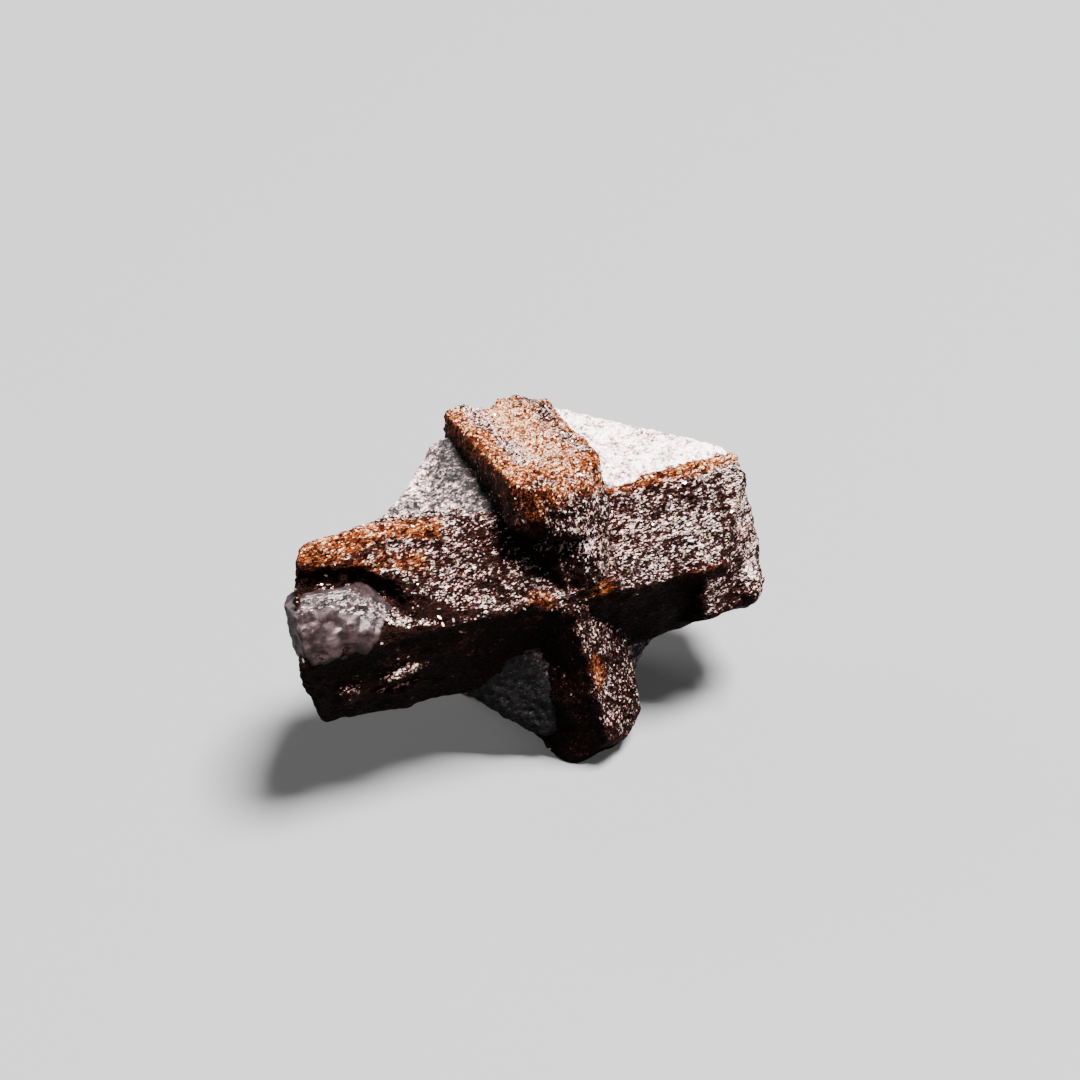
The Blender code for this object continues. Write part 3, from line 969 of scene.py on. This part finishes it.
class STAUROLITE_OT_long_crystal(bpy.types.Operator):
    """Grow the long crystal that lies across the cross"""

    bl_idname = "staurolite.long_crystal"
    bl_label = "Long Crystal"

    def execute(self, context):
        sizes, detail = context.scene.cross_sizes, context.scene.surface_detail
        left = cleaved_block("left arm", *LEFT_BLOCK, left_arm_faces(sizes))
        right = cleaved_block("right arm", *RIGHT_BLOCK, right_arm_faces(sizes))
        for cutter in lumps("hollow", LONG_HOLLOWS):
            roughen(cutter, HOLLOW_RELIEF)
            hollow(left, cutter)
        shoulder = cleaved_block("shoulder", *SHOULDER_BLOCK, right_shoulder_faces(sizes))
        parts = (left, right, shoulder, *lumps("knob", LONG_KNOBS))
        crystal = grow("long_crystal", parts, JAGGED, detail, LONG_LENGTHS)
        paint = {"rust": LONG_RUST, "pale": LONG_PALE_AND_LIT, "umber": LONG_UMBER_AND_SHADE}
        material = staurolite("long staurolite", context.scene.stone_colours, LONG_RATES)
        finish(crystal, sizes, paint, material)
        return {"FINISHED"}


class STAUROLITE_OT_short_crystal(bpy.types.Operator):
    """Grow the short crystal that stands through the long one"""

    bl_idname = "staurolite.short_crystal"
    bl_label = "Short Crystal"

    def execute(self, context):
        sizes, detail = context.scene.cross_sizes, context.scene.surface_detail
        column = cleaved_block("column", *COLUMN_BLOCK, short_crystal_faces(sizes))
        for cutter in lumps("hollow", SHORT_HOLLOWS):
            hollow(column, cutter)
        brow = cleaved_block("brow", *BROW_BLOCK, brow_faces(sizes))
        parts = (column, brow, *lumps("knob", SHORT_KNOBS))
        crystal = grow("short_crystal", parts, (), detail, SHORT_LENGTHS)
        paint = {"rust": SHORT_RUST, "pale": SHORT_PALE_AND_LIT, "umber": SHORT_UMBER_AND_SHADE}
        material = staurolite("short staurolite", context.scene.stone_colours, SHORT_RATES)
        finish(crystal, sizes, paint, material)
        return {"FINISHED"}


class STAUROLITE_OT_matrix_rock(bpy.types.Operator):
    """Leave the pale rock in the corners between the arms"""

    bl_idname = "staurolite.matrix_rock"
    bl_label = "Matrix Rock"

    def execute(self, context):
        sizes, detail = context.scene.cross_sizes, context.scene.surface_detail
        blocks = []
        for name, low, high, faces in ROCK_BLOCKS:
            block = cleaved_block(name, low, high, faces)
            if name in ROCK_FILLETS:
                hollow(block, rod(f"{name} fillet", *ROCK_FILLETS[name]))
            blocks.append(block)
        rock = joined("matrix_rock", *blocks)
        one_skin(rock, ROUGH_ROCK_VOXEL, ROUGH_ROCK_WEAR)
        one_skin(rock, detail.rock_voxel, ROCK_WEAR)
        for relief in ROCK_RELIEF:
            roughen(rock, relief)
        material = matrix_rock(context.scene.stone_colours)
        finish(rock, sizes, {"dull": DARK_SCHIST_AND_SHADE}, material)
        return {"FINISHED"}


class STAUROLITE_OT_quartz_patch(bpy.types.Operator):
    """Set the cloudy quartz into the left end of the long crystal"""

    bl_idname = "staurolite.quartz_patch"
    bl_label = "Quartz Patch"

    def execute(self, context):
        sizes, detail = context.scene.cross_sizes, context.scene.surface_detail
        patch = cleaved_block("quartz_patch", *QUARTZ_BLOCK, QUARTZ_FACES)
        one_skin(patch, detail.crystal_voxel, QUARTZ_WEAR)
        for relief in QUARTZ_RELIEF:
            roughen(patch, relief)
        material = quartz(context.scene.stone_colours)
        finish(patch, sizes, {"silver": QUARTZ_SILVER}, material)
        return {"FINISHED"}


def buried(item, others):
    """True at each point of item that lies inside one of the others."""
    graph = bpy.context.evaluated_depsgraph_get()
    trees = [BVHTree.FromObject(other, graph) for other in others]
    found = np.zeros(len(item.data.vertices), bool)
    for index, vertex in enumerate(item.data.vertices):
        for tree in trees:
            place, looks, _, _ = tree.find_nearest(vertex.co)
            if (vertex.co - place).dot(looks) < 0.0:
                found[index] = True
                break
    return found


FLAKE_SIDES = 6
FLAKE_DEPTH = 0.3  # thickness as a share of the radius
FLAKE_TIP = 0.4  # radians: how far a flake tips out of the face it lies on
SMALLEST_FLAKE, LARGEST_FLAKE = (0.5, 0.5, 0.7), (2.1, 1.1, 1.3)
FLAKE_CLEARANCE = 0.4  # mm above the floor where flakes start


def random_vector(tree, low, high, seed):
    inputs = {0: low, 1: high, "Seed": seed}
    return node(tree, "FunctionNodeRandomValue", inputs, data_type="FLOAT_VECTOR").outputs[0]


def flake_scatter(detail, seed):
    """Geometry nodes that lay thin six-sided flakes on a mesh, slightly tilted, and drop the mesh."""
    tree = bpy.data.node_groups.new("Strewn flakes", "GeometryNodeTree")
    for side in ("INPUT", "OUTPUT"):
        tree.interface.new_socket("Geometry", in_out=side, socket_type="NodeSocketGeometry")
    given, out = tree.nodes.new("NodeGroupInput"), tree.nodes.new("NodeGroupOutput")
    # Painted light: flakes lie most thickly on bare faces turned to the lights.
    bare = node(tree, "GeometryNodeInputNamedAttribute", {"Name": "bare"}, data_type="FLOAT")
    density = maths(tree, "MULTIPLY", bare.outputs[0], detail.flakes_per_mm2 / MM**2)
    spread = node(
        tree, "GeometryNodeDistributePointsOnFaces",
        {"Mesh": given.outputs[0], "Density": density, "Seed": seed},
    )
    radius = detail.flake_radius * MM
    flake = node(
        tree, "GeometryNodeMeshCylinder",
        {"Vertices": FLAKE_SIDES, "Radius": radius, "Depth": radius * FLAKE_DEPTH},
    )
    tip = random_vector(tree, (-FLAKE_TIP, -FLAKE_TIP, 0.0), (FLAKE_TIP, FLAKE_TIP, math.tau), seed + 1)
    turn = node(
        tree, "FunctionNodeRotateRotation",
        {"Rotation": spread.outputs["Rotation"], "Rotate By": tip}, rotation_space="LOCAL",
    )
    laid = node(
        tree, "GeometryNodeInstanceOnPoints",
        {"Points": spread.outputs["Points"], "Instance": flake.outputs["Mesh"],
         "Rotation": turn.outputs[0],
         "Scale": random_vector(tree, SMALLEST_FLAKE, LARGEST_FLAKE, seed + 2)},
    )
    shade = node(
        tree, "FunctionNodeRandomValue", {2: 0.0, 3: 1.0, "Seed": seed + 3}, data_type="FLOAT"
    )
    toned = node(
        tree, "GeometryNodeStoreNamedAttribute",
        {"Geometry": laid.outputs[0], "Name": "tone", "Value": shade.outputs[1]},
        data_type="FLOAT", domain="INSTANCE",
    )
    real = node(tree, "GeometryNodeRealizeInstances", {"Geometry": toned.outputs[0]})
    tree.links.new(real.outputs[0], out.inputs[0])
    return tree


class STAUROLITE_OT_mica_flakes(bpy.types.Operator):
    """Strew mica flakes over the bare faces of both crystals, most thickly on the faces turned to the
    lights, as painted light
    """

    bl_idname = "staurolite.mica_flakes"
    bl_label = "Mica Flakes"

    def execute(self, context):
        detail = context.scene.surface_detail
        objects = bpy.data.objects
        bases = []
        for name, others in (
            ("long_crystal", ("short_crystal", "matrix_rock", "quartz_patch")),
            ("short_crystal", ("long_crystal", "matrix_rock")),
        ):
            hidden = buried(objects[name], [objects[other] for other in others])
            only(objects[name])
            bpy.ops.object.duplicate()
            base = bpy.context.object
            # Painted light: the flakes follow the lit-side share, so lit faces glitter more.
            lit_share = read_points(base.data.attributes["sparkle"].data, "value", 1)[:, 0]
            hidden |= points_of(base)[:, 2] < FLAKE_CLEARANCE * MM
            note(base, "bare", np.where(hidden, 0.0, lit_share))
            bases.append(base)
        flakes = joined("mica_flakes", *bases)
        # The copies came with their originals' ties to the frame.
        flakes.parent = None
        for key in list(flakes.keys()):
            del flakes[key]
        modify(flakes, "NODES", node_group=flake_scatter(detail, detail.seed))
        flakes.data.materials.clear()
        flakes.data.materials.append(mica(context.scene.stone_colours))
        hand_over(flakes)
        return {"FINISHED"}


# ---- stage

AIM_PIXEL = (547.0, 573.5)  # where the crossing shows in the frame
FRAME_PIXELS = 1080
SENSOR = 36.0  # mm
CLIP_START, CLIP_END = 0.001, 20.0  # metres
FLOOR_SIZE = 1.4  # metres, as are the lights' places from the crossing and the sides below
KEY_PLACE = Vector((0.34, -0.15, 1.2))
FILL_PLACE, FILL_SIDE = Vector((-0.7, -1.0, 0.85)), 1.0
REAR_PLACE, REAR_SIDE = Vector((-0.75, 0.8, 0.45)), 0.6
PAPER_SHADE = 0.94  # the floor's darker specks, as a share of its colour
SKY_COLOUR = (0.97, 0.98, 1.0, 1.0)


def area_light(name, target, aside, size, power):
    """A square light set aside from its target and turned to it."""
    light = bpy.data.lights.new(name, "AREA")
    light.shape = "SQUARE"
    light.size = size
    light.energy = power
    item = bpy.data.objects.new(name, light)
    bpy.context.scene.collection.objects.link(item)
    item.location = target + aside
    item.rotation_euler = (-aside).to_track_quat("-Z", "Y").to_euler()


def add_camera(stage, crossing):
    """A camera whose picture shows the crossing at its aim pixel."""
    turn, rise = stage.azimuth, stage.elevation
    back = Vector((math.sin(turn) * math.cos(rise), -math.cos(turn) * math.cos(rise), math.sin(rise)))
    right = Vector((math.cos(turn), math.sin(turn), 0.0))
    up = back.cross(right)
    per_pixel = stage.distance * SENSOR / (stage.lens * FRAME_PIXELS)
    aside = (AIM_PIXEL[0] - FRAME_PIXELS / 2) * per_pixel
    below = (AIM_PIXEL[1] - FRAME_PIXELS / 2) * per_pixel
    camera = bpy.data.objects.new("camera", bpy.data.cameras.new("camera"))
    camera.data.lens = stage.lens
    camera.data.sensor_width = SENSOR
    camera.data.clip_start, camera.data.clip_end = CLIP_START, CLIP_END
    turned = Matrix((right, up, back)).transposed().to_4x4()
    place = crossing + back * stage.distance - right * aside + up * below
    camera.matrix_world = Matrix.Translation(place) @ turned
    bpy.context.scene.collection.objects.link(camera)
    bpy.context.scene.camera = camera


class STAUROLITE_OT_stage(bpy.types.Operator):
    """Add the pale floor, the soft lights and the camera"""

    bl_idname = "staurolite.stage"
    bl_label = "Stage"

    def execute(self, context):
        stage = context.scene.stage_settings
        crossing = Vector(context.scene.cross_sizes.crossing)
        deselect()
        bpy.ops.mesh.primitive_plane_add(size=FLOOR_SIZE)
        floor = context.object
        floor.name = "floor"
        material, tree, shader, place, _ = new_material("pale floor", Roughness=0.75)
        paper = noise(tree, place, 0.5, 4.0, 0.7)
        darker = opaque([value * PAPER_SHADE for value in stage.floor])
        tone = blend(tree, paper, darker, opaque(stage.floor))
        seen = node(tree, "ShaderNodeLightPath").outputs["Is Camera Ray"]
        # The camera sees the whole floor; the stone is lit by a share of it.
        share = maths(tree, "MAXIMUM", seen, stage.bounce)
        feed(tree, shader.inputs["Base Color"], blend(tree, share, BLACK, tone))
        shader.inputs["Emission Strength"].default_value = 1.0
        glow = opaque([stage.shade_glow] * 3)
        feed(tree, shader.inputs["Emission Color"], blend(tree, seen, BLACK, glow))
        floor.data.materials.append(material)
        area_light("key", crossing, KEY_PLACE, stage.key_size, stage.key_power)
        area_light("fill", crossing, FILL_PLACE, FILL_SIDE, stage.fill_power)
        area_light("back", crossing, REAR_PLACE, REAR_SIDE, stage.back_power)
        world = bpy.data.worlds.new("surroundings")
        world.use_nodes = True
        around, tree = world.node_tree.nodes["Background"], world.node_tree
        around.inputs["Color"].default_value = SKY_COLOUR
        seen = node(tree, "ShaderNodeLightPath").outputs["Is Camera Ray"]
        feed(tree, around.inputs["Strength"], total(tree, stage.sky, (seen, stage.backdrop - stage.sky)))
        context.scene.world = world
        add_camera(stage, crossing)
        return {"FINISHED"}


# ---- add-on


class STAUROLITE_PT_panel(bpy.types.Panel):
    bl_label = "Staurolite Cross"
    bl_idname = "STAUROLITE_PT_panel"
    bl_space_type = "VIEW_3D"
    bl_region_type = "UI"
    bl_category = "Staurolite"

    def draw(self, context):
        layout = self.layout
        for operator in OPERATORS:
            layout.operator(operator.bl_idname)
        for name in SETTINGS:
            box = layout.box()
            box.label(text=name.replace("_", " ").capitalize())
            group = getattr(context.scene, name)
            for key in group.__annotations__:
                box.prop(group, key)


SETTINGS = {
    "cross_sizes": CrossSizes,
    "surface_detail": SurfaceDetail,
    "stone_colours": StoneColours,
    "stage_settings": StageSettings,
}
OPERATORS = (
    STAUROLITE_OT_long_crystal,
    STAUROLITE_OT_short_crystal,
    STAUROLITE_OT_matrix_rock,
    STAUROLITE_OT_quartz_patch,
    STAUROLITE_OT_mica_flakes,
    STAUROLITE_OT_stage,
)
CLASSES = (*SETTINGS.values(), *OPERATORS, STAUROLITE_PT_panel)


def register():
    for item in CLASSES:
        bpy.utils.register_class(item)
    for name, group in SETTINGS.items():
        setattr(bpy.types.Scene, name, PointerProperty(type=group))


def unregister():
    for name in SETTINGS:
        delattr(bpy.types.Scene, name)
    for item in reversed(CLASSES):
        bpy.utils.unregister_class(item)


def main():
    register()
    bpy.ops.staurolite.long_crystal()
    bpy.ops.staurolite.short_crystal()
    bpy.ops.staurolite.matrix_rock()
    bpy.ops.staurolite.quartz_patch()
    bpy.ops.staurolite.mica_flakes()
    bpy.ops.staurolite.stage()


if __name__ == "__main__":
    main()
